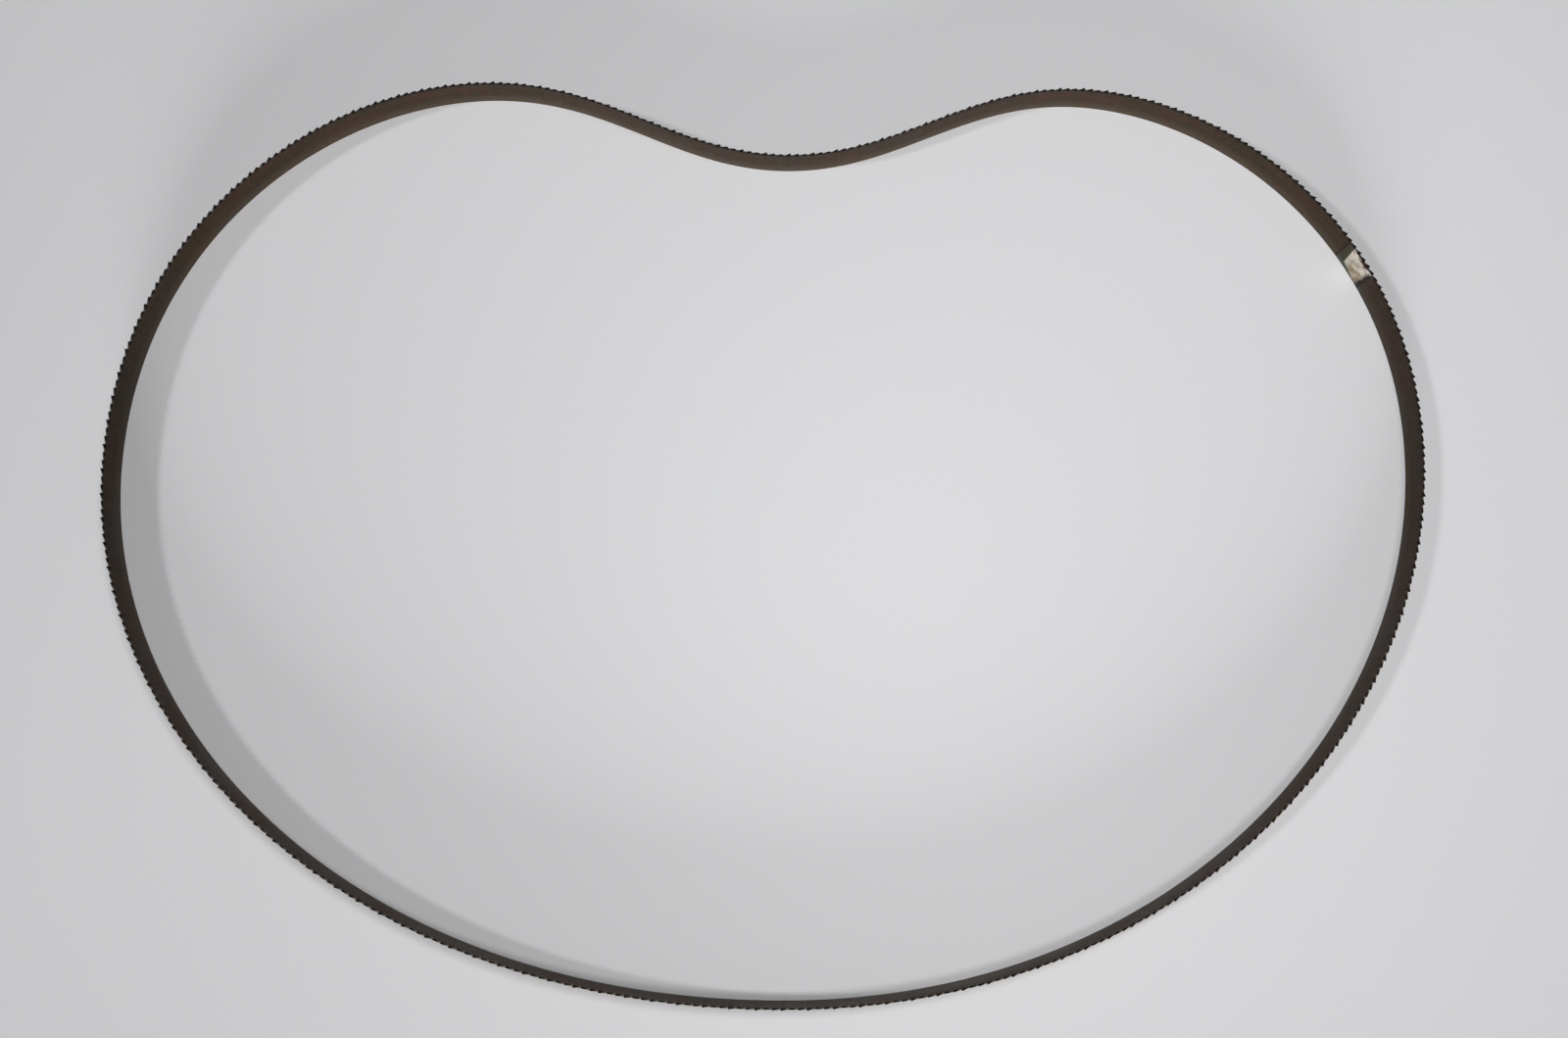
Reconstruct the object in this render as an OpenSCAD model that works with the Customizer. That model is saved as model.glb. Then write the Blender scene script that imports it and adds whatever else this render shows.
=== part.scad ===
// Welded band saw blade, standing on its back edge with the teeth up.
// A thin steel strip with one toothed edge is butt welded into an endless loop. Set down by itself,
// the springy loop settles into a wide kidney outline with one side pressed in.
// Seen from above, the teeth point clockwise. The loop's middle is the origin, and +Z is up.

/* [Strip] */
// Length of the endless strip, measured along its middle
blade_length = 1140; // [1000:5:1300]
// Width of the strip, from its back edge to the tooth tips
blade_width = 12.7; // [8:0.1:20]
// Thickness of the strip
blade_thickness = 0.5; // [0.4:0.05:0.9]

/* [Teeth] */
// Distance between neighbouring tooth tips, evened out so that whole teeth fill the strip
tooth_pitch = 2.54; // [2.5:0.01:4.3]
// Depth of the gullets below the tooth tips
gullet_depth = 1.1; // [0.8:0.05:1.5]
// Radius of the rounded bottom of a gullet
gullet_radius = 0.45; // [0.3:0.05:0.6]
// Forward lean of the front of a tooth, in degrees
rake_angle = 0; // [0:1:12]
// Sideways set of the tip of a bent tooth, away from the strip's face
tooth_set = 0.2; // [0.1:0.01:0.3]

/* [Weld] */
// Distance along the strip, clockwise from the deepest point of the dent to the weld
weld_distance = 209; // [0:1:1000]
// Length of strip that is ground down on both faces over the weld
weld_ground_length = 10; // [6:0.5:20]
// Depth ground off each face over the weld
weld_ground_depth = 0.03; // [0.01:0.01:0.1]

/* [Turns of the loop] */
// Deepest point of the dent, along X and Y. The outline is drawn at any size: its length sets its scale
dent_at = [6, 119]; // [-250:1:250]
// How far the outline keeps its heading before and after the deepest point of the dent
dent_reach = [36, 35]; // [20:1:60]
// Top of the right shoulder
right_shoulder_at = [98, 142]; // [-250:1:250]
// Reach of the right shoulder's heading, before and after its top
right_shoulder_reach = [35, 46]; // [20:1:60]
// Widest point on the right
right_side_at = [204, 26]; // [-250:1:250]
// Reach of the heading before and after the widest point on the right
right_side_reach = [75, 87]; // [50:1:110]
// Lowest point of the outline, opposite the dent
bottom_at = [6, -143]; // [-250:1:250]
// Reach of the heading before and after the lowest point
bottom_reach = [117, 129]; // [80:1:150]
// Widest point on the left
left_side_at = [-204, 18]; // [-250:1:250]
// Reach of the heading before and after the widest point on the left
left_side_reach = [82, 79]; // [50:1:110]
// Top of the left shoulder
left_shoulder_at = [-89, 143]; // [-250:1:250]
// Reach of the left shoulder's heading, before and after its top
left_shoulder_reach = [53, 38]; // [20:1:60]

/* [Hidden] */

// Headings of the outline at its turns, going clockwise
rightward = [1, 0];
downward = [0, -1];
leftward = [-1, 0];
upward = [0, 1];

// The turns in clockwise order: place, heading, and its reach before and after
turns = [
  [dent_at, rightward, dent_reach],
  [right_shoulder_at, rightward, right_shoulder_reach],
  [right_side_at, downward, right_side_reach],
  [bottom_at, leftward, bottom_reach],
  [left_side_at, upward, left_side_reach],
  [left_shoulder_at, rightward, left_shoulder_reach],
];

// Point at share t of the smooth bow from one turn to the next
function bow_point(a, b, t) =
  let (
    leave = a[0] + a[1] * a[2][1],
    arrive = b[0] - b[1] * b[2][0],
    u = 1 - t
  )
  u^3 * a[0] + 3 * u^2 * t * leave + 3 * u * t^2 * arrive + t^3 * b[0];

// Direction of travel at share t of the same bow
function bow_heading(a, b, t) =
  let (
    leave = a[0] + a[1] * a[2][1],
    arrive = b[0] - b[1] * b[2][0],
    u = 1 - t,
    v = u^2 * (leave - a[0]) + 2 * u * t * (arrive - leave) + t^2 * (b[0] - arrive)
  )
  v / norm(v);

// The outline's place and heading at a running number: 0 at the dent, 1 at the next turn and so on
function turn_before(n) = turns[floor(n) % len(turns)];
function turn_after(n) = turns[(floor(n) + 1) % len(turns)];
function outline_point(n) = bow_point(turn_before(n), turn_after(n), n - floor(n));
function outline_heading(n) = bow_heading(turn_before(n), turn_after(n), n - floor(n));

// Length of the outline as drawn, summed over short steps of the running number
steps_per_turn = 80;
steps = steps_per_turn * len(turns);
step_lengths = [for (i = [1:steps])
  norm(outline_point(i / steps_per_turn) - outline_point((i - 1) / steps_per_turn))];
length_table = [for (i = 0, far = 0; i <= steps; far = far + (i < steps ? step_lengths[i] : 0), i = i + 1)
  [far, i / steps_per_turn]];
drawn_length = length_table[steps][0];

// The outline is scaled so that its length is the strip's
outline_scale = blade_length / drawn_length;

// Running number at a distance along the strip, clockwise from the weld
function running(distance) =
  lookup(((distance + weld_distance + blade_length) % blade_length) / outline_scale, length_table);

// Whole teeth from the weld round to the weld again
tooth_count = round(blade_length / tooth_pitch);
pitch = blade_length / tooth_count;

// Every third tooth stands straight, and its neighbours are bent outward and inward
set_pattern = [1, 0, -1];

// Heights of the teeth
gullet_floor = blade_width - gullet_depth;
arc_centre_height = gullet_floor + gullet_radius;
front_height = blade_width - arc_centre_height;
tip_overhang = front_height * tan(rake_angle);

// Slope of the tooth's back, which runs off the gullet's arc without a corner and ends in the tip
back_run = pitch + tip_overhang - gullet_radius;
back_slope = atan2(front_height, back_run) + asin(gullet_radius / norm([back_run, front_height]));

// Profile of one tooth and the gullet before it, as distance from the foot of the front, and height:
// the arc of the gullet from that foot to the back of the next tooth, then this tooth's tip
arc_steps = 3;
arc_sweep = 90 + back_slope;
gullet_arc = [for (i = [0:arc_steps])
  let (turned = 180 + arc_sweep * i / arc_steps)
  [gullet_radius * (1 + cos(turned)), arc_centre_height + gullet_radius * sin(turned)]];
tip = [pitch + tip_overhang, blade_width];

// Half the thickness at a distance from the weld, less what is ground off there
ramp_length = 2 * pitch;
function half_thickness(from_weld) =
  let (share = (weld_ground_length / 2 - from_weld) / ramp_length + 0.5)
  blade_thickness / 2 - weld_ground_depth * min(1, max(0, share));

function distance_to_weld(distance) =
  let (d = (distance + blade_length) % blade_length)
  min(d, blade_length - d);

// The outline's middle, which becomes the origin
tooth_points = [for (k = [0:tooth_count - 1]) outline_point(running(k * pitch)) * outline_scale];
xs = [for (p = tooth_points) p[0]];
ys = [for (p = tooth_points) p[1]];
loop_middle = [min(xs) + max(xs), min(ys) + max(ys)] / 2;

// Two opposite points of the strip's skin, on the inner and the outer face
function skin(distance, height, sideways) =
  let (
    n = running(distance),
    middle = outline_point(n) * outline_scale - loop_middle,
    heading = outline_heading(n),
    outward = [-heading[1], heading[0]],
    half = half_thickness(distance_to_weld(distance)),
    inner = middle + outward * (sideways - half),
    outer = middle + outward * (sideways + half)
  )
  [[inner[0], inner[1], height], [outer[0], outer[1], height]];

// The skin of one tooth: the back edge below the front's foot, then the profile
tooth_skin_size = 2 * (arc_steps + 3);
function tooth_skin(k) =
  let (start = k * pitch)
  concat(
    skin(start, 0, 0),
    [for (p = gullet_arc) each skin(start + p[0], p[1], 0)],
    skin(start + tip[0], tip[1], tooth_set * set_pattern[k % len(set_pattern)])
  );

// Number of a point: tooth, station from the back edge to the tip, and 0 for inner or 1 for outer
function spot(k, station, side) = (k % tooth_count) * tooth_skin_size + 2 * station + side;

back_edge = 0;
front_foot = 1;
arc_end = front_foot + arc_steps;
tip_station = arc_end + 1;

// One strip of skin across the thickness, between two stations
function across(k, a, next_k, b) = [spot(k, a, 0), spot(k, a, 1), spot(next_k, b, 1), spot(next_k, b, 0)];

function tooth_faces(k) =
  let (
    side = [back_edge, for (s = [front_foot:arc_end]) s],
    inner_side = [
      for (s = side) spot(k, s, 0),
      spot(k + 1, front_foot, 0),
      spot(k + 1, back_edge, 0)
    ],
    outer_side = [
      spot(k, back_edge, 1),
      spot(k + 1, back_edge, 1),
      spot(k + 1, front_foot, 1),
      for (s = [arc_end:-1:front_foot]) spot(k, s, 1)
    ]
  )
  concat(
    [inner_side, outer_side],
    [[spot(k, arc_end, 0), spot(k, tip_station, 0), spot(k + 1, front_foot, 0)]],
    [[spot(k, arc_end, 1), spot(k + 1, front_foot, 1), spot(k, tip_station, 1)]],
    [for (s = [front_foot:arc_end]) across(k, s, k, s + 1)],
    [across(k, tip_station, k + 1, front_foot)],
    [across(k + 1, back_edge, k, back_edge)]
  );

// The whole blade is one closed skin, tooth after tooth round the loop
module blade() {
  color("#4b443e")
    polyhedron(
      points = [for (k = [0:tooth_count - 1]) each tooth_skin(k)],
      faces = [for (k = [0:tooth_count - 1]) each tooth_faces(k)],
      convexity = 6
    );
}

blade();
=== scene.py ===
"""A welded band saw blade, standing on its back edge with the teeth up, seen from above."""

import math

import bmesh
import bpy
from mathutils import Matrix, Vector


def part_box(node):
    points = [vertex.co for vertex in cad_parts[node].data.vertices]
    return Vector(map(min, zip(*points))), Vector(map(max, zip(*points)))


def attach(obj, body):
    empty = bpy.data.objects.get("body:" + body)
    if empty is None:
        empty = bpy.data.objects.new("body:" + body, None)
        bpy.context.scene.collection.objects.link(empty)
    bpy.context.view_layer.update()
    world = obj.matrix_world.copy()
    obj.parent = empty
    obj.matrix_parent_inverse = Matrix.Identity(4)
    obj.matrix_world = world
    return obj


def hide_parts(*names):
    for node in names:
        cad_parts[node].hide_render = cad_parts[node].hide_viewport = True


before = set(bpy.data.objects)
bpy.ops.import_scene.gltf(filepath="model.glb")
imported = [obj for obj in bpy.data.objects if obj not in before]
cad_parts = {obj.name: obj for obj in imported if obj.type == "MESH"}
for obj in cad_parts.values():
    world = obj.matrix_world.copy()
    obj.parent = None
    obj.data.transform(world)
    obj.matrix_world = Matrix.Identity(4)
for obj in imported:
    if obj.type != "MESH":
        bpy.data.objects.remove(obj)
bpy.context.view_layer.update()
MM = 0.001


# Strip steel with milled teeth: a flat strip of spring steel, milled along its upper edge one tooth
# pitch after another, each with a straight front, a round gullet and a sloping back. This makes the
# steel of one such pitch, whose X runs from the foot of one tooth's front to the next tooth's tip.

blade_length = 1140 * MM
strip_thickness = 0.5 * MM
strip_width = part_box("blade")[1][2]
nominal_pitch = 2.54 * MM
tooth_count = round(blade_length / nominal_pitch)
pitch = blade_length / tooth_count

gullet_depth = 1.1 * MM
gullet_radius = 0.45 * MM
gullet_floor = strip_width - gullet_depth
front_foot = gullet_floor + gullet_radius
front_height = strip_width - front_foot
back_run = pitch - gullet_radius
back_slope = math.atan2(front_height, back_run) + math.asin(
    gullet_radius / math.hypot(back_run, front_height)
)

tooth_root = gullet_floor - 0.3 * MM
gullet_steps = 6
back_steps = 3
corner_radius = 0.09 * MM
corner_steps = 2


def tooth_profile():
    """The cut edge over one pitch: the round gullet, the sloping back, and the tip at the far end."""
    sweep = math.pi / 2 + back_slope
    line = []
    for i in range(gullet_steps + 1):
        turned = math.pi + sweep * i / gullet_steps
        x = gullet_radius * (1 + math.cos(turned))
        line.append((x, front_foot + gullet_radius * math.sin(turned)))
    back_x, back_z = line[-1]
    for i in range(1, back_steps + 1):
        share = i / back_steps
        x = back_x + (pitch - back_x) * share
        line.append((x, back_z + (strip_width - back_z) * share))
    return line


def strip_section():
    """The strip's section below the teeth, as Y outward and Z, down the inner face and up the outer."""
    half = strip_thickness / 2
    outer = []
    for i in range(corner_steps + 1):
        turned = math.pi / 2 * i / corner_steps
        y = half - corner_radius * (1 - math.sin(turned))
        outer.append((y, corner_radius * (1 - math.cos(turned))))
    outer.append((half, tooth_root))
    inner = [(-y, z) for y, z in reversed(outer)]
    return inner + outer


def one_pitch():
    """The steel of one tooth pitch, open at both ends, where its neighbours join on."""
    steel = bmesh.new()
    half = strip_thickness / 2
    columns = []
    for x, top in tooth_profile():
        column = [steel.verts.new((x, -half, top))]
        column += [steel.verts.new((x, y, z)) for y, z in strip_section()]
        column.append(steel.verts.new((x, half, top)))
        columns.append(column)
    foot_inner = steel.verts.new((pitch, -half, front_foot))
    foot_outer = steel.verts.new((pitch, half, front_foot))
    last = len(columns[0]) - 1
    for a, b in zip(columns, columns[1:]):
        at_tip = b is columns[-1]
        for j in range(last):
            corners = [a[j], a[j + 1], b[j + 1], b[j]]
            if at_tip and j == 0:
                corners = [a[j], a[j + 1], b[j + 1], foot_inner, b[j]]
            if at_tip and j == last - 1:
                corners = [a[j], a[j + 1], b[j + 1], foot_outer, b[j]]
            steel.faces.new(corners)
        steel.faces.new([a[last], a[0], b[0], b[last]])
    steel.faces.new([columns[-1][0], foot_inner, foot_outer, columns[-1][last]])
    bmesh.ops.recalc_face_normals(steel, faces=steel.faces)
    mesh = bpy.data.meshes.new("one_pitch")
    steel.to_mesh(mesh)
    steel.free()
    return mesh


# The loop: the strip's ends are butt welded, and it settles with one side pressed in. Its outline has
# six turns, clockwise from the deepest point of the dent: a place, a heading, and how far the outline
# keeps that heading before and after it, in millimetres. Its length is then made the strip's own.

rightward = Vector((1, 0, 0))
downward = Vector((0, -1, 0))
leftward = Vector((-1, 0, 0))
upward = Vector((0, 1, 0))
turns = [
    ((6, 119), rightward, (36, 35)),
    ((98, 142), rightward, (35, 46)),
    ((204, 26), downward, (75, 87)),
    ((6, -143), leftward, (117, 129)),
    ((-204, 18), upward, (82, 79)),
    ((-89, 143), rightward, (53, 38)),
]
weld_distance = 209 * MM
outline_steps = 400


def loop_outline():
    """The outline as a closed curve of six points with handles, centred on the origin."""
    curve = bpy.data.curves.new("loop_outline", "CURVE")
    curve.dimensions = "3D"
    curve.resolution_u = outline_steps
    spline = curve.splines.new("BEZIER")
    spline.bezier_points.add(len(turns) - 1)
    spline.use_cyclic_u = True
    for point, (place, heading, (before, after)) in zip(spline.bezier_points, turns):
        point.handle_left_type = point.handle_right_type = "FREE"
        point.co = Vector((*place, 0)) * MM
        point.handle_left = point.co - heading * before * MM
        point.handle_right = point.co + heading * after * MM
    scale = blade_length / spline.calc_length(resolution=outline_steps)
    curve.transform(Matrix.Scale(scale, 4))
    xs = [point.co.x for point in spline.bezier_points]
    ys = [point.co.y for point in spline.bezier_points]
    middle = Vector((min(xs) + max(xs), min(ys) + max(ys), 0)) / 2
    curve.transform(Matrix.Translation(-middle))
    return bpy.data.objects.new("loop_outline", curve)


# The toothed loop: each pitch follows the last, from the weld round to the weld again. Every third
# tooth stays straight and its neighbours are bent outward and inward, which is a raker set. The weld's
# two faces are ground a little thinner. Then the whole strip is bent round the outline.

tooth_set = 0.2 * MM
set_period = 3
ground_length = 10 * MM
ground_depth = 0.03 * MM
ground_ramp = 2 * pitch
weld_merge = 0.004 * MM


def add(tree, kind, links=None, **settings):
    """Adds a node with its settings. Links maps an input's name or number to a value, to a socket, or
    to a node, which gives its first output in use."""
    node = tree.nodes.new(kind)
    for name, value in settings.items():
        setattr(node, name, value)
    for name, value in (links or {}).items():
        socket = node.inputs[name]
        if isinstance(value, bpy.types.Node):
            value = next(output for output in value.outputs if output.enabled)
        if isinstance(value, bpy.types.NodeSocket):
            tree.links.new(value, socket)
        else:
            socket.default_value = value
    return node


def product_on(tree, *values):
    """Multiplies all values, so that shares of 0 to 1 leave only where they overlap."""
    result = values[0]
    for value in values[1:]:
        result = add(tree, "ShaderNodeMath", {0: result, 1: value}, operation="MULTIPLY")
    return result


def toothed_loop_tree():
    tree = bpy.data.node_groups.new("toothed_loop", "GeometryNodeTree")
    sockets = [
        ("One pitch", "Geometry"),
        ("Outline", "Object"),
        ("Teeth", "Int"),
        ("Pitch", "Float"),
        ("Weld along outline", "Float"),
        ("Set", "Float"),
        ("Set period", "Int"),
        ("Front foot", "Float"),
        ("Front height", "Float"),
        ("Half thickness", "Float"),
        ("Ground length", "Float"),
        ("Ground depth", "Float"),
        ("Ground ramp", "Float"),
        ("Merge", "Float"),
        ("Steel", "Material"),
    ]
    for name, kind in sockets:
        tree.interface.new_socket(name=name, in_out="INPUT", socket_type="NodeSocket" + kind)
    tree.interface.new_socket(name="Blade", in_out="OUTPUT", socket_type="NodeSocketGeometry")
    given = add(tree, "NodeGroupInput").outputs
    length = product_on(tree, given["Teeth"], given["Pitch"])

    # One pitch after another in a straight row, each told which way its tooth is bent.
    step = add(tree, "ShaderNodeCombineXYZ", {"X": given["Pitch"]})
    line = add(tree, "GeometryNodeMeshLine", {"Count": given["Teeth"], "Offset": step})
    row = add(
        tree,
        "GeometryNodeInstanceOnPoints",
        {"Points": line, "Instance": given["One pitch"]},
    )
    number = add(tree, "GeometryNodeInputIndex")
    in_turn = add(tree, "ShaderNodeMath", {0: number, 1: given["Set period"]}, operation="MODULO")
    bend = add(tree, "ShaderNodeMath", {0: 1.0, 1: in_turn}, operation="SUBTRACT")
    bent = add(
        tree,
        "GeometryNodeStoreNamedAttribute",
        {"Geometry": row, "Name": "bend", "Value": bend},
        data_type="FLOAT",
        domain="INSTANCE",
    )
    strip = add(tree, "GeometryNodeRealizeInstances", {0: bent})

    # The UV map holds the distance along the strip and the height on it.
    place = add(tree, "GeometryNodeInputPosition")
    flat = add(tree, "ShaderNodeSeparateXYZ", {0: place}).outputs
    on_strip = add(tree, "ShaderNodeCombineXYZ", {"X": flat["X"], "Y": flat["Z"]})
    mapped = add(
        tree,
        "GeometryNodeStoreNamedAttribute",
        {"Geometry": strip, "Name": "strip", "Value": on_strip},
        data_type="FLOAT2",
        domain="CORNER",
    )

    # Faces that look along the strip, up or down are milled, and those that look aside are rolled.
    normal = add(tree, "GeometryNodeInputNormal")
    looks = add(tree, "ShaderNodeSeparateXYZ", {0: normal}).outputs
    looks_aside = add(tree, "ShaderNodeMath", {0: looks["Y"]}, operation="ABSOLUTE")
    is_cut = add(tree, "ShaderNodeMath", {0: 1.0, 1: looks_aside}, operation="SUBTRACT")
    milled = add(
        tree,
        "GeometryNodeStoreNamedAttribute",
        {"Geometry": mapped, "Name": "milled", "Value": is_cut},
        data_type="FLOAT",
        domain="FACE",
    )

    # Ground thinner near the weld.
    rest = add(tree, "ShaderNodeMath", {0: length, 1: flat["X"]}, operation="SUBTRACT")
    from_weld = add(tree, "ShaderNodeMath", {0: flat["X"], 1: rest}, operation="MINIMUM")
    half_ground = product_on(tree, given["Ground length"], 0.5)
    inside = add(tree, "ShaderNodeMath", {0: half_ground, 1: from_weld}, operation="SUBTRACT")
    share = add(tree, "ShaderNodeMath", {0: inside, 1: given["Ground ramp"]}, operation="DIVIDE")
    share = add(tree, "ShaderNodeMath", {0: share, 1: 0.5}, operation="ADD", use_clamp=True)
    ground = product_on(tree, share, given["Ground depth"])
    thinner = add(tree, "ShaderNodeMath", {0: ground, 1: given["Half thickness"]}, operation="DIVIDE")
    kept = add(tree, "ShaderNodeMath", {0: 1.0, 1: thinner}, operation="SUBTRACT")
    sideways = product_on(tree, flat["Y"], kept)

    # Teeth leaned outward, left straight or leaned inward, above the foot of their fronts.
    bend_of = add(tree, "GeometryNodeInputNamedAttribute", {"Name": "bend"}, data_type="FLOAT")
    above = add(tree, "ShaderNodeMath", {0: flat["Z"], 1: given["Front foot"]}, operation="SUBTRACT")
    lean = add(
        tree,
        "ShaderNodeMath",
        {0: above, 1: given["Front height"]},
        operation="DIVIDE",
        use_clamp=True,
    )
    lean = product_on(tree, lean, given["Set"], bend_of)
    sideways = add(tree, "ShaderNodeMath", {0: sideways, 1: lean}, operation="ADD")

    # Bent round the outline, from the weld's place on it.
    outline = add(tree, "GeometryNodeObjectInfo", {"Object": given["Outline"]}).outputs
    along = add(
        tree,
        "ShaderNodeMath",
        {0: flat["X"], 1: given["Weld along outline"]},
        operation="ADD",
    )
    factor = add(tree, "ShaderNodeMath", {0: along, 1: length}, operation="DIVIDE")
    factor = add(tree, "ShaderNodeMath", {0: factor}, operation="FRACT")
    spot = add(
        tree,
        "GeometryNodeSampleCurve",
        {"Curves": outline["Geometry"], "Factor": factor},
        mode="FACTOR",
        use_all_curves=True,
    ).outputs
    heading = add(tree, "ShaderNodeSeparateXYZ", {0: spot["Tangent"]}).outputs
    inward_x = product_on(tree, heading["Y"], -1.0)
    outward = add(tree, "ShaderNodeCombineXYZ", {"X": inward_x, "Y": heading["X"]})
    aside = add(tree, "ShaderNodeVectorMath", {0: outward, "Scale": sideways}, operation="SCALE")
    lifted = add(tree, "ShaderNodeCombineXYZ", {"Z": flat["Z"]})
    on_loop = add(tree, "ShaderNodeVectorMath", {0: spot["Position"], 1: aside}, operation="ADD")
    on_loop = add(tree, "ShaderNodeVectorMath", {0: on_loop, 1: lifted}, operation="ADD")
    loop = add(tree, "GeometryNodeSetPosition", {"Geometry": milled, "Position": on_loop})
    joined = add(
        tree,
        "GeometryNodeMergeByDistance",
        {"Geometry": loop, "Distance": given["Merge"]},
    )

    whole = add(tree, "GeometryNodeRealizeInstances", {0: joined})
    steel = add(tree, "GeometryNodeSetMaterial", {"Geometry": whole, "Material": given["Steel"]})
    add(tree, "NodeGroupOutput", {"Blade": steel})
    return tree


# Heat-blued strip steel: tempering leaves a brown-grey oxide on the rolled strip, nearly black to the
# eye and warm grey where it mirrors the table, with streaks, cloudy tints and bare nicks. Over the weld
# it is ground bright, in a band that the welding heat has tinted, with a scorched smudge at one end.

blued_steel_green = "#322B1F"
blued_steel_red = "#382A22"
blued_steel_glance = "#AC9E86"
# Lighter oxide low down: partly rubbed, partly a painted reflection of the pale table.
rubbed_steel_and_table_reflection = "#544B3D"
# Near black: the teeth, and the painted contact shade along the back edge.
teeth_and_contact_shade_black = "#100E0C"
milled_steel = "#564E46"
bare_steel = "#F6EFE6"
smeared_steel = "#BFB49C"
temper_green = "#3C3B2B"
temper_blue = "#46504A"
temper_brown = "#33211C"
scorch = "#17120F"

# Patterns: how long their grains are along the strip, and how high on it. On real steel the rolling
# streaks, the oxide's speckle and the grinding scratches are several times finer. Here they are as
# coarse as they need to be to show.
cloud_size = (20 * MM, 8 * MM)
mottle_size = (3.5 * MM, 2.6 * MM)
streak_size = (30 * MM, 0.35 * MM)
speckle_size = (0.9 * MM, 0.6 * MM)
nick_size = (0.6 * MM, 0.3 * MM)
grinding_size = (5 * MM, 0.22 * MM)
rag_size = (1.6 * MM, 0.7 * MM)
grain_depth = 0.006 * MM
# Heights of the lighter low zone, partly painted table reflection, and of the painted contact shade.
rubbed_and_reflection_height = 5.5 * MM
contact_shade_height = 0.45 * MM

oxide_roughness = (0.36, 0.46)
bare_roughness = 0.34
milled_roughness = 0.42
oxide_metallic = 0.35
oxide_specular_level = 0.12


def linear(hex_colour):
    """An sRGB hex colour as linear red, green, blue and alpha."""
    channels = [int(hex_colour[i : i + 2], 16) / 255 for i in (1, 3, 5)]
    curve = [c / 12.92 if c <= 0.04045 else ((c + 0.055) / 1.055) ** 2.4 for c in channels]
    return (*curve, 1.0)


# A soft step is a Map Range node: its input 0 is the value, 1 and 2 are where the step starts and
# ends, and 3 and 4 are its results there, which are 0 and 1 if nothing else is said.
soft_step = {"interpolation_type": "SMOOTHSTEP"}


def band_on(tree, value, middle, half_width, softness):
    """Is 1 within half_width of the middle and fades to 0 over the softness beyond it."""
    offset = add(tree, "ShaderNodeMath", {0: value, 1: middle}, operation="SUBTRACT")
    away = add(tree, "ShaderNodeMath", {0: offset}, operation="ABSOLUTE")
    fade = {0: away, 1: half_width + softness, 2: half_width}
    return add(tree, "ShaderNodeMapRange", fade, **soft_step)


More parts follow.
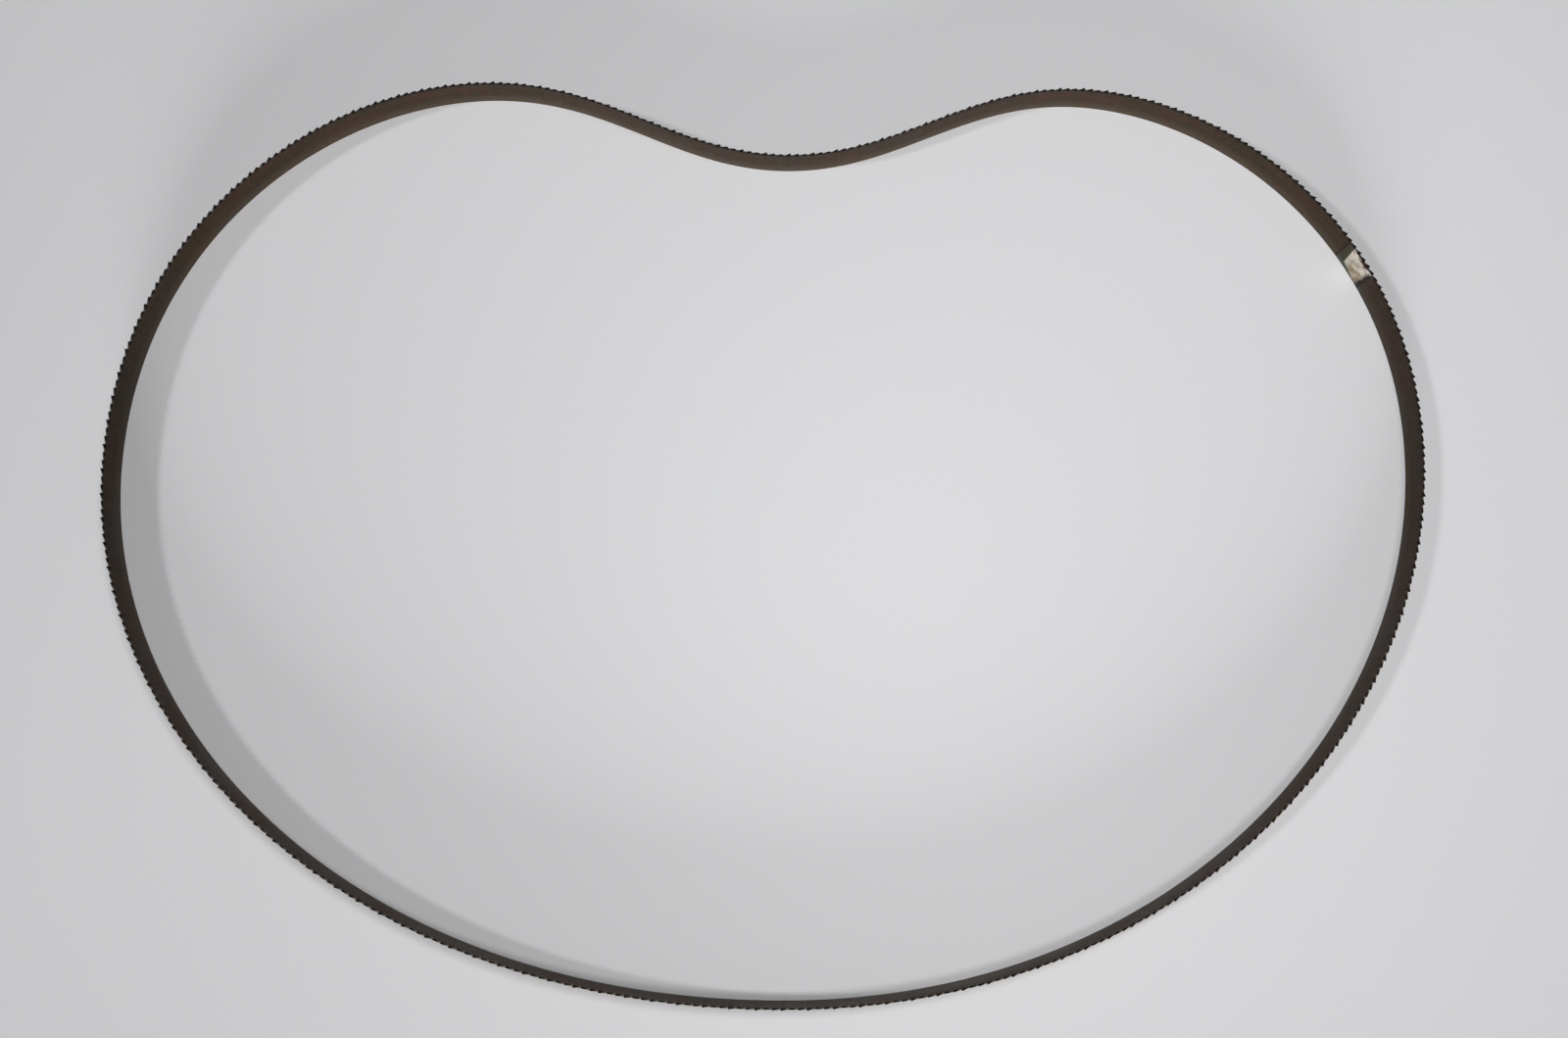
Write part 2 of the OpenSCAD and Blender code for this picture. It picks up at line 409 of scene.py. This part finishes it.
def blued_steel():
    material = bpy.data.materials.new("blued_strip_steel_rolled_and_tempered")
    material.use_nodes = True
    tree = material.node_tree
    tree.nodes.clear()

    # The UV map gives the distance along the strip and the height on it. Patterns are drawn on a
    # circle as long as the strip, so that they meet themselves after one round.
    on_strip = add(tree, "ShaderNodeUVMap", uv_map="strip")
    along, height = add(tree, "ShaderNodeSeparateXYZ", {0: on_strip}).outputs[:2]
    turned = product_on(tree, along, math.tau / blade_length)
    cosine = add(tree, "ShaderNodeMath", {0: turned}, operation="COSINE")
    sine = add(tree, "ShaderNodeMath", {0: turned}, operation="SINE")
    circle_radius = blade_length / math.tau
    circle_x = product_on(tree, cosine, circle_radius)
    circle_y = product_on(tree, sine, circle_radius)
    circle = add(tree, "ShaderNodeCombineXYZ", {0: circle_x, 1: circle_y, 2: height})

    def grain(size, detail=2.0):
        """Noise with grains of one length along the strip and one height."""
        scale = (1 / size[0], 1 / size[0], 1 / size[1])
        spot = add(tree, "ShaderNodeVectorMath", {0: circle, 1: scale}, operation="MULTIPLY")
        return add(tree, "ShaderNodeTexNoise", {"Vector": spot, "Scale": 1.0, "Detail": detail})

    clouds = grain(cloud_size, 3.0)
    mottle = grain(mottle_size)
    streaks = grain(streak_size)
    speckle = grain(speckle_size)
    nicks = grain(nick_size, 0.0)
    grinding = grain(grinding_size)
    rag = grain(rag_size)

    # Oxide: cloudy tints, rolling streaks and fine speckle. Low down it is lighter, partly rubbed and
    # partly a painted reflection of the pale table, and it ends in a thin dark line of painted shade on
    # the back edge's corners, where the strip meets the table.
    patches = add(tree, "ShaderNodeMath", {0: clouds, 1: mottle}, operation="ADD")
    tint = add(tree, "ShaderNodeMapRange", {0: patches, 1: 0.85, 2: 1.15}, **soft_step)
    layers = {0: tint, 6: linear(blued_steel_green), 7: linear(blued_steel_red)}
    oxide = add(tree, "ShaderNodeMix", layers, data_type="RGBA")
    tone = product_on(
        tree,
        add(tree, "ShaderNodeMapRange", {0: streaks, 1: 0.3, 2: 0.7, 3: 0.8, 4: 1.2}, **soft_step),
        add(tree, "ShaderNodeMapRange", {0: speckle, 1: 0.3, 2: 0.7, 3: 0.78, 4: 1.22}, **soft_step),
        add(tree, "ShaderNodeMapRange", {0: clouds, 1: 0.3, 2: 0.7, 3: 0.9, 4: 1.1}, **soft_step),
    )
    oxide = add(tree, "ShaderNodeVectorMath", {0: oxide, "Scale": tone}, operation="SCALE")
    # Lighter low down: some rubbing and a painted reflection of the pale table.
    wear_and_reflection = {0: height, 1: rubbed_and_reflection_height, 2: 2 * contact_shade_height, 4: 0.5}
    rubbed_and_reflected = add(tree, "ShaderNodeMapRange", wear_and_reflection, **soft_step)
    layers = {0: rubbed_and_reflected, 6: oxide, 7: linear(rubbed_steel_and_table_reflection)}
    oxide = add(tree, "ShaderNodeMix", layers, data_type="RGBA")
    # Painted contact shade: darker at the very bottom of the strip, where it meets the table.
    contact_shading = {0: height, 1: contact_shade_height, 2: 0.5 * contact_shade_height, 4: 0.8}
    painted_contact_shade = add(tree, "ShaderNodeMapRange", contact_shading, **soft_step)
    layers = {0: painted_contact_shade, 6: oxide, 7: linear(teeth_and_contact_shade_black)}
    oxide = add(tree, "ShaderNodeMix", layers, data_type="RGBA")

    # The weld's place on the strip, in millimetres: before and after it, and up from the back edge.
    wrapped = add(tree, "ShaderNodeMath", {0: along, 1: blade_length / 2}, operation="GREATER_THAN")
    one_round = product_on(tree, wrapped, blade_length)
    signed = add(tree, "ShaderNodeMath", {0: along, 1: one_round}, operation="SUBTRACT")
    x = add(tree, "ShaderNodeMath", {0: signed, 1: MM}, operation="DIVIDE")
    z = add(tree, "ShaderNodeMath", {0: height, 1: MM}, operation="DIVIDE")
    ragged = add(tree, "ShaderNodeMath", {0: rag, 1: 0.5}, operation="SUBTRACT")
    streaky = add(tree, "ShaderNodeMath", {0: grinding, 1: 0.5}, operation="SUBTRACT")

    # The weld's marks, in the same millimetres.
    tint_start = -7.5
    tint_end = 8.0
    patch_start = -3.9
    patch_end = 3.6
    patch_top = 10.9
    smudge_start = 3.2
    smudge_end = 6.4

    # Heat tint round the weld, with a dark line where it begins and a smudge where it ends.
    tinted = product_on(
        tree,
        add(tree, "ShaderNodeMapRange", {0: x, 1: tint_start, 2: tint_start + 0.3}, **soft_step),
        add(tree, "ShaderNodeMapRange", {0: x, 1: tint_end, 2: tint_end - 4, 4: 0.9}, **soft_step),
    )
    layers = {0: tinted, 6: oxide, 7: linear(temper_green)}
    colour = add(tree, "ShaderNodeMix", layers, data_type="RGBA")
    low = add(tree, "ShaderNodeMapRange", {0: z, 1: 2.6, 2: 1.4}, **soft_step)
    low = product_on(tree, low, tinted)
    layers = {0: low, 6: colour, 7: linear(temper_blue)}
    colour = add(tree, "ShaderNodeMix", layers, data_type="RGBA")
    high = add(tree, "ShaderNodeMapRange", {0: z, 1: 10.0, 2: 11.0}, **soft_step)
    browned = product_on(tree, high, band_on(tree, x, 1.0, 1.4, 1.2))
    layers = {0: browned, 6: colour, 7: linear(temper_brown)}
    colour = add(tree, "ShaderNodeMix", layers, data_type="RGBA")
    line = product_on(tree, band_on(tree, x, tint_start, 0.2, 0.35), 0.75)
    layers = {0: line, 6: colour, 7: linear(scorch)}
    colour = add(tree, "ShaderNodeMix", layers, data_type="RGBA")
    far_end = add(tree, "ShaderNodeMath", {0: ragged, 1: 3.0, 2: smudge_end}, operation="MULTIPLY_ADD")
    to_far_end = add(tree, "ShaderNodeMath", {0: far_end, 1: x}, operation="SUBTRACT")
    smudged = product_on(
        tree,
        add(tree, "ShaderNodeMapRange", {0: x, 1: smudge_start, 2: smudge_start + 1.4}, **soft_step),
        add(tree, "ShaderNodeMapRange", {0: to_far_end, 1: 0.0, 2: 1.6}, **soft_step),
        0.85,
    )
    layers = {0: smudged, 6: colour, 7: linear(scorch)}
    colour = add(tree, "ShaderNodeMix", layers, data_type="RGBA")

    # The teeth are painted near black from just below the gullet floor up, and the milled gullets are
    # barer.
    blackening = {0: height, 1: tooth_root, 2: gullet_floor + 0.1 * MM, 4: 0.96}
    toothed = add(tree, "ShaderNodeMapRange", blackening, **soft_step)
    layers = {0: toothed, 6: colour, 7: linear(teeth_and_contact_shade_black)}
    colour = add(tree, "ShaderNodeMix", layers, data_type="RGBA")
    above_strip = {0: height, 1: gullet_floor - MM, 2: gullet_floor - 0.5 * MM}
    below_tips = {0: height, 1: gullet_floor + 0.6 * MM, 2: gullet_floor + 0.15 * MM}
    cut = product_on(
        tree,
        add(tree, "ShaderNodeAttribute", attribute_name="milled").outputs["Fac"],
        add(tree, "ShaderNodeMapRange", above_strip, **soft_step),
        add(tree, "ShaderNodeMapRange", below_tips, **soft_step),
    )
    layers = {0: cut, 6: colour, 7: linear(milled_steel)}
    colour = add(tree, "ShaderNodeMix", layers, data_type="RGBA")

    # Ground patch: its start leans, its far end runs out in streaks, and its top stays below the teeth.
    start = add(tree, "ShaderNodeMath", {0: z, 1: -0.11, 2: patch_start}, operation="MULTIPLY_ADD")
    start = add(tree, "ShaderNodeMath", {0: ragged, 1: 1.2, 2: start}, operation="MULTIPLY_ADD")
    end = add(tree, "ShaderNodeMath", {0: z, 1: 0.08, 2: patch_end}, operation="MULTIPLY_ADD")
    end = add(tree, "ShaderNodeMath", {0: streaky, 1: 3.6, 2: end}, operation="MULTIPLY_ADD")
    top = add(tree, "ShaderNodeMath", {0: ragged, 1: 3.0, 2: patch_top}, operation="MULTIPLY_ADD")
    from_start = add(tree, "ShaderNodeMath", {0: x, 1: start}, operation="SUBTRACT")
    to_end = add(tree, "ShaderNodeMath", {0: end, 1: x}, operation="SUBTRACT")
    from_foot = add(tree, "ShaderNodeMath", {0: x, 1: 0.25, 2: z}, operation="MULTIPLY_ADD")
    to_top = add(tree, "ShaderNodeMath", {0: top, 1: z}, operation="SUBTRACT")
    ground = product_on(
        tree,
        add(tree, "ShaderNodeMapRange", {0: from_start, 1: 0.0, 2: 0.4}, **soft_step),
        add(tree, "ShaderNodeMapRange", {0: to_end, 1: -0.3, 2: 1.3}, **soft_step),
        add(tree, "ShaderNodeMapRange", {0: from_foot, 1: 0.7, 2: 1.5}, **soft_step),
        add(tree, "ShaderNodeMapRange", {0: to_top, 1: 0.0, 2: 0.5}, **soft_step),
    )
    for sliver_x, sliver_z, half_length in ((-4.3, 11.2, 0.5), (4.2, 11.1, 0.8)):
        sliver = product_on(
            tree,
            band_on(tree, x, sliver_x, half_length, 0.3),
            band_on(tree, z, sliver_z, 0.2, 0.2),
        )
        ground = add(tree, "ShaderNodeMath", {0: ground, 1: sliver}, operation="MAXIMUM")

    # Bare metal: the ground patch and a few nicks in the oxide.
    nicked = add(tree, "ShaderNodeMapRange", {0: nicks, 1: 0.85, 2: 0.9, 4: 0.4}, **soft_step)
    bare = add(tree, "ShaderNodeMath", {0: ground, 1: nicked}, operation="MAXIMUM")
    blotches = add(tree, "ShaderNodeMath", {0: z, 1: -0.03, 2: mottle}, operation="MULTIPLY_ADD")
    smeared = product_on(
        tree,
        add(tree, "ShaderNodeMapRange", {0: blotches, 1: 0.2, 2: 0.45}, **soft_step),
        band_on(tree, x, 0.6, 2.0, 2.5),
    )
    layers = {0: smeared, 6: linear(bare_steel), 7: linear(smeared_steel)}
    bright = add(tree, "ShaderNodeMix", layers, data_type="RGBA")
    ground_tone = product_on(
        tree,
        add(tree, "ShaderNodeMapRange", {0: grinding, 1: 0.3, 2: 0.7, 3: 0.84, 4: 1.05}, **soft_step),
        add(tree, "ShaderNodeMapRange", {0: rag, 1: 0.3, 2: 0.6, 3: 0.7}, **soft_step),
    )
    bright = add(tree, "ShaderNodeVectorMath", {0: bright, "Scale": ground_tone}, operation="SCALE")
    colour = add(tree, "ShaderNodeMix", {0: bare, 6: colour, 7: bright}, data_type="RGBA")

    # The oxide is semi-gloss and a little cloudy, and the ground steel is glossier. The milled steel is
    # no glossier than the oxide, but it is bare metal, so that the round gullets glint.
    clear, cloudy = oxide_roughness
    dull = add(tree, "ShaderNodeMapRange", {0: clouds, 1: 0.3, 2: 0.7, 3: clear, 4: cloudy}, **soft_step)
    dull = add(tree, "ShaderNodeMath", {0: streaks, 1: 0.06, 2: dull}, operation="MULTIPLY_ADD")
    layers = {0: bare, 2: dull, 3: bare_roughness}
    roughness = add(tree, "ShaderNodeMix", layers, data_type="FLOAT")
    layers = {0: cut, 2: roughness, 3: milled_roughness}
    roughness = add(tree, "ShaderNodeMix", layers, data_type="FLOAT")
    metal_shows = add(tree, "ShaderNodeMath", {0: bare, 1: cut}, operation="MAXIMUM")
    metallic = add(tree, "ShaderNodeMapRange", {0: metal_shows, 3: oxide_metallic}, **soft_step)
    relief = add(
        tree,
        "ShaderNodeMath",
        {0: grinding, 1: ground, 2: speckle},
        operation="MULTIPLY_ADD",
    )
    bump = add(tree, "ShaderNodeBump", {"Height": relief, "Distance": grain_depth, "Strength": 1.0})
    links = {
        "Base Color": colour,
        "Metallic": metallic,
        "Roughness": roughness,
        "Normal": bump,
    }
    surface = add(tree, "ShaderNodeBsdfPrincipled", links)
    surface.inputs["Specular Tint"].default_value = linear(blued_steel_glance)
    surface.inputs["Specular IOR Level"].default_value = oxide_specular_level
    add(tree, "ShaderNodeOutputMaterial", {"Surface": surface})
    return material


steel = blued_steel()
outline = loop_outline()
bpy.context.scene.collection.objects.link(outline)
maker = bpy.data.objects.new("toothed_loop_maker", one_pitch())
bpy.context.scene.collection.objects.link(maker)
loop_maker = maker.modifiers.new("toothed_loop", "NODES")
loop_maker.node_group = toothed_loop_tree()
chosen = {
    "Outline": outline,
    "Teeth": tooth_count,
    "Pitch": pitch,
    "Weld along outline": weld_distance,
    "Set": tooth_set,
    "Set period": set_period,
    "Front foot": front_foot,
    "Front height": front_height,
    "Half thickness": strip_thickness / 2,
    "Ground length": ground_length,
    "Ground depth": ground_depth,
    "Ground ramp": ground_ramp,
    "Merge": weld_merge,
    "Steel": steel,
}
for item in loop_maker.node_group.interface.items_tree:
    if item.in_out == "INPUT" and item.name in chosen:
        loop_maker[item.identifier] = chosen[item.name]

made = maker.evaluated_get(bpy.context.evaluated_depsgraph_get())
blade_mesh = bpy.data.meshes.new_from_object(made)
blade_mesh.name = "toothed_blade"
sharp_corner = math.radians(30)
blade_mesh.shade_smooth()
blade_mesh.set_sharp_from_angle(angle=sharp_corner)
blade = bpy.data.objects.new("toothed_blade", blade_mesh)
bpy.context.scene.collection.objects.link(blade)
maker.modifiers.remove(loop_maker)
for helper in (maker, outline):
    bpy.data.objects.remove(helper)
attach(blade, "root")
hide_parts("blade")


# Table, light and camera: a plain pale table, slightly glossy. A small lamp on the left gives the
# loop's one clear shadow, two above light the table, and a very low one in front, wide as a window,
# lights the faces turned to it. The surround is dim but looks pale. The camera looks almost straight down.

table_colour = "#D6D6D8"
table_size = 6.0
table_gap = 0.02 * MM
bpy.ops.mesh.primitive_plane_add(size=table_size, location=(0, 0, -table_gap))
table = bpy.context.object
table.name = "table"
table_paint = bpy.data.materials.new("table_paint")
table_paint.use_nodes = True
table_surface = table_paint.node_tree.nodes["Principled BSDF"]
table_surface.inputs["Base Color"].default_value = linear(table_colour)
table_surface.inputs["Roughness"].default_value = 0.5
table.data.materials.append(table_paint)

surround_strength = 0.04
backdrop_strength = 0.42
world = bpy.data.worlds.new("surround")
bpy.context.scene.world = world
world.use_nodes = True
surround = world.node_tree.nodes["Background"]
surround.inputs["Color"].default_value = (1, 1, 1, 1)
ray = add(world.node_tree, "ShaderNodeLightPath").outputs
rays = {0: ray["Is Camera Ray"], 1: ray["Is Glossy Ray"]}
seen = add(world.node_tree, "ShaderNodeMath", rays, operation="MAXIMUM")
rays = {0: seen, 1: ray["Is Transmission Ray"]}
seen = add(world.node_tree, "ShaderNodeMath", rays, operation="MAXIMUM")
strengths = {0: seen, 3: surround_strength, 4: backdrop_strength}
seen_strength = add(world.node_tree, "ShaderNodeMapRange", strengths, **soft_step)
world.node_tree.links.new(seen_strength.outputs[0], surround.inputs["Strength"])

# Far lamps: the way their light goes, how wide they look in degrees, and watts per square metre.
far_lamps = [
    ("left_lamp", (1.7, 0.24, -1.75), 5.5, 0.76),
    ("window", (0.04, 1.0, -0.079), 24, 5.4),
]
for lamp_name, lamp_heading, lamp_angle, lamp_strength in far_lamps:
    lamp_data = bpy.data.lights.new(lamp_name, "SUN")
    lamp_data.angle = math.radians(lamp_angle)
    lamp_data.energy = lamp_strength
    lamp = bpy.data.objects.new(lamp_name, lamp_data)
    lamp.rotation_euler = Vector(lamp_heading).to_track_quat("-Z", "Y").to_euler()
    bpy.context.scene.collection.objects.link(lamp)

# Lamps overhead: their place and aim in metres, the size of their disk, and watts.
overhead_lamps = [
    ("ceiling_lamp", (0.28, -0.42, 1.8), (0.1, 0, 0), 0.35, 7.0),
    ("near_lamp", (0.09, 0.04, 0.65), (0.09, 0.04, 0), 0.2, 1.8),
]
for lamp_name, lamp_place, lamp_aim, lamp_size, lamp_watts in overhead_lamps:
    lamp_data = bpy.data.lights.new(lamp_name, "AREA")
    lamp_data.shape = "DISK"
    lamp_data.size = lamp_size
    lamp_data.energy = lamp_watts
    lamp = bpy.data.objects.new(lamp_name, lamp_data)
    lamp.location = lamp_place
    aim = Vector(lamp_aim) - Vector(lamp_place)
    lamp.rotation_euler = aim.to_track_quat("-Z", "Y").to_euler()
    bpy.context.scene.collection.objects.link(lamp)

picture_width = 1600
focal_pixels = 1402
sensor_width = 36.0
camera_data = bpy.data.cameras.new("camera")
camera_data.sensor_fit = "HORIZONTAL"
camera_data.sensor_width = sensor_width
camera_data.lens = focal_pixels / picture_width * sensor_width
camera_data.clip_start = 0.01
camera_data.clip_end = 20
camera = bpy.data.objects.new("camera", camera_data)
lean_forward = Matrix.Rotation(math.radians(8.90), 4, "X")
lean_aside = Matrix.Rotation(math.radians(-1.09), 4, "Y")
camera_place = Matrix.Translation(Vector((-3.7, -64.1, 428.9)) * MM)
camera.matrix_world = camera_place @ lean_forward @ lean_aside
bpy.context.scene.collection.objects.link(camera)
bpy.context.scene.camera = camera
bpy.context.scene.view_settings.view_transform = "Standard"
